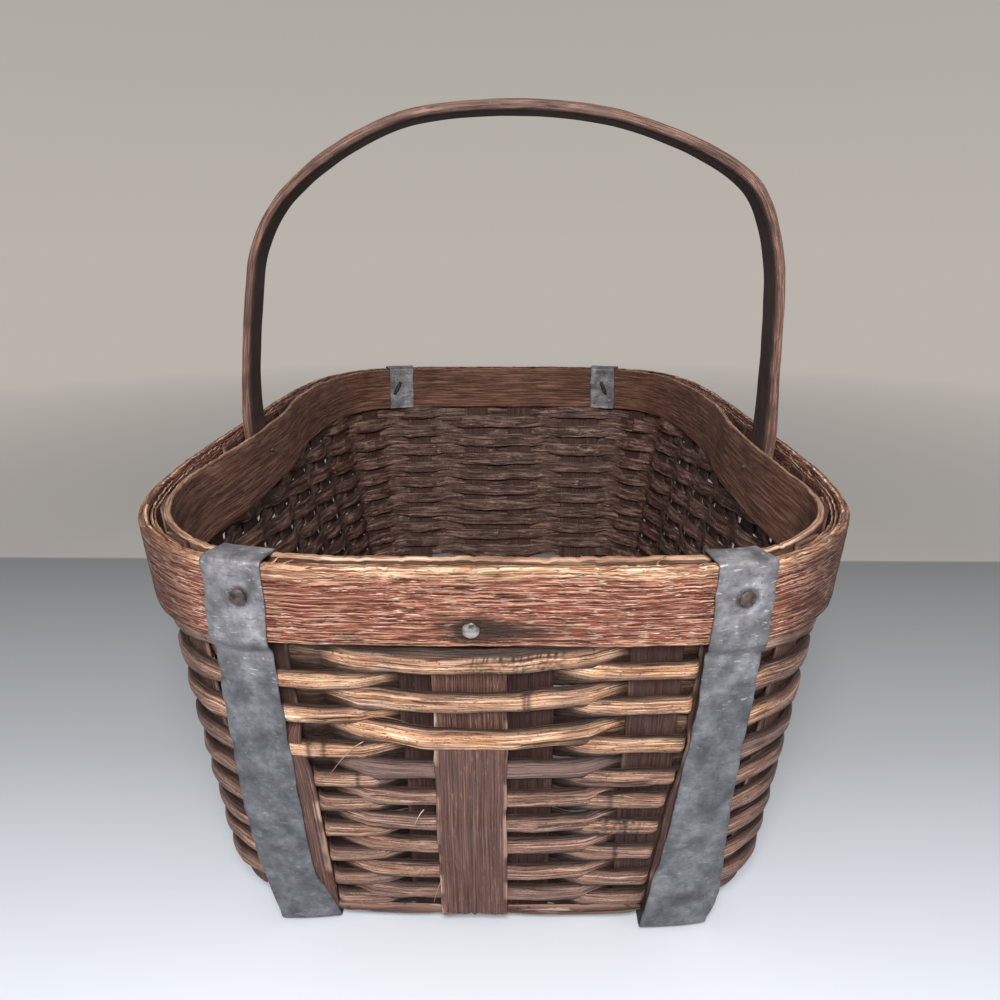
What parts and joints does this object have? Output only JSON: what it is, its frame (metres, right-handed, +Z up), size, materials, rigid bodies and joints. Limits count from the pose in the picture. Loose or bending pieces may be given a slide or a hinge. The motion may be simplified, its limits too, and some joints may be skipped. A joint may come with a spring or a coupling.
{
  "type": "gathering basket",
  "caption": "Oblong gathering basket of woven split wood with a layered rim, a fixed bentwood handle across its middle and sheet-steel straps under it.",
  "frame": {"origin": "on the ground under the middle of the basket", "axes": "+Z up, Y along the basket's length with the front end at -Y, +X to the right seen from the front"},
  "size_m": [0.38, 0.549, 0.424],
  "materials": {
    "rim_wood": "weathered reddish-brown split wood with raised torn fibres and bleached edges",
    "handle_wood": "worn pinkish-brown bentwood with pale rubbed edges and a darker inner face",
    "splint_wood": "dry dull purple-brown split wood with fine grain along its length",
    "rod_wood": "half-round split rods, straw-tan on the upper rows and brown-tan below, with specks and nodes",
    "strap_steel": "dull galvanised sheet, mottled and scuffed, smoother and bluer low down",
    "nail_steel": "grey-brown rusted domed heads"
  },
  "bodies": {
    "root": {"rim_outer_band": "rim_wood", "rim_middle_strip": "rim_wood", "rim_inner_band": "rim_wood", "handle": "handle_wood", "strap_left": "strap_steel", "strap_right": "strap_steel", "front_splint": "splint_wood", "upright_long_1": "splint_wood", "upright_long_2": "splint_wood", "upright_long_3": "splint_wood", "upright_long_4": "splint_wood", "upright_long_5": "splint_wood", "upright_cross_1": "splint_wood", "upright_cross_2": "splint_wood", "upright_cross_3": "splint_wood", "upright_cross_4": "splint_wood", "upright_cross_5": "splint_wood", "upright_cross_6": "splint_wood", "upright_cross_7": "splint_wood", "upright_corner_front_right": "splint_wood", "upright_corner_back_right": "splint_wood", "upright_corner_back_left": "splint_wood", "upright_corner_front_left": "splint_wood", "rod_row_01": "rod_wood", "rod_row_02": "rod_wood", "rod_row_03": "rod_wood", "rod_row_04": "rod_wood", "rod_row_05": "rod_wood", "rod_row_06": "rod_wood", "rod_row_07": "rod_wood", "rod_row_08": "rod_wood", "rod_row_09": "rod_wood", "rod_row_10": "rod_wood", "rod_row_11": "rod_wood", "rod_row_12": "rod_wood", "rod_row_13": "rod_wood", "rod_row_14": "rod_wood", "rod_row_15": "rod_wood", "rod_row_16": "rod_wood", "rod_row_17": "rod_wood", "rod_row_18": "rod_wood", "nail_strap_front_left": "nail_steel", "nail_strap_back_left": "nail_steel", "nail_strap_front_right": "nail_steel", "nail_strap_back_right": "nail_steel", "nail_rim_front": "nail_steel", "nail_handle_left": "nail_steel", "nail_handle_right": "nail_steel"}
  },
  "joints": []
}
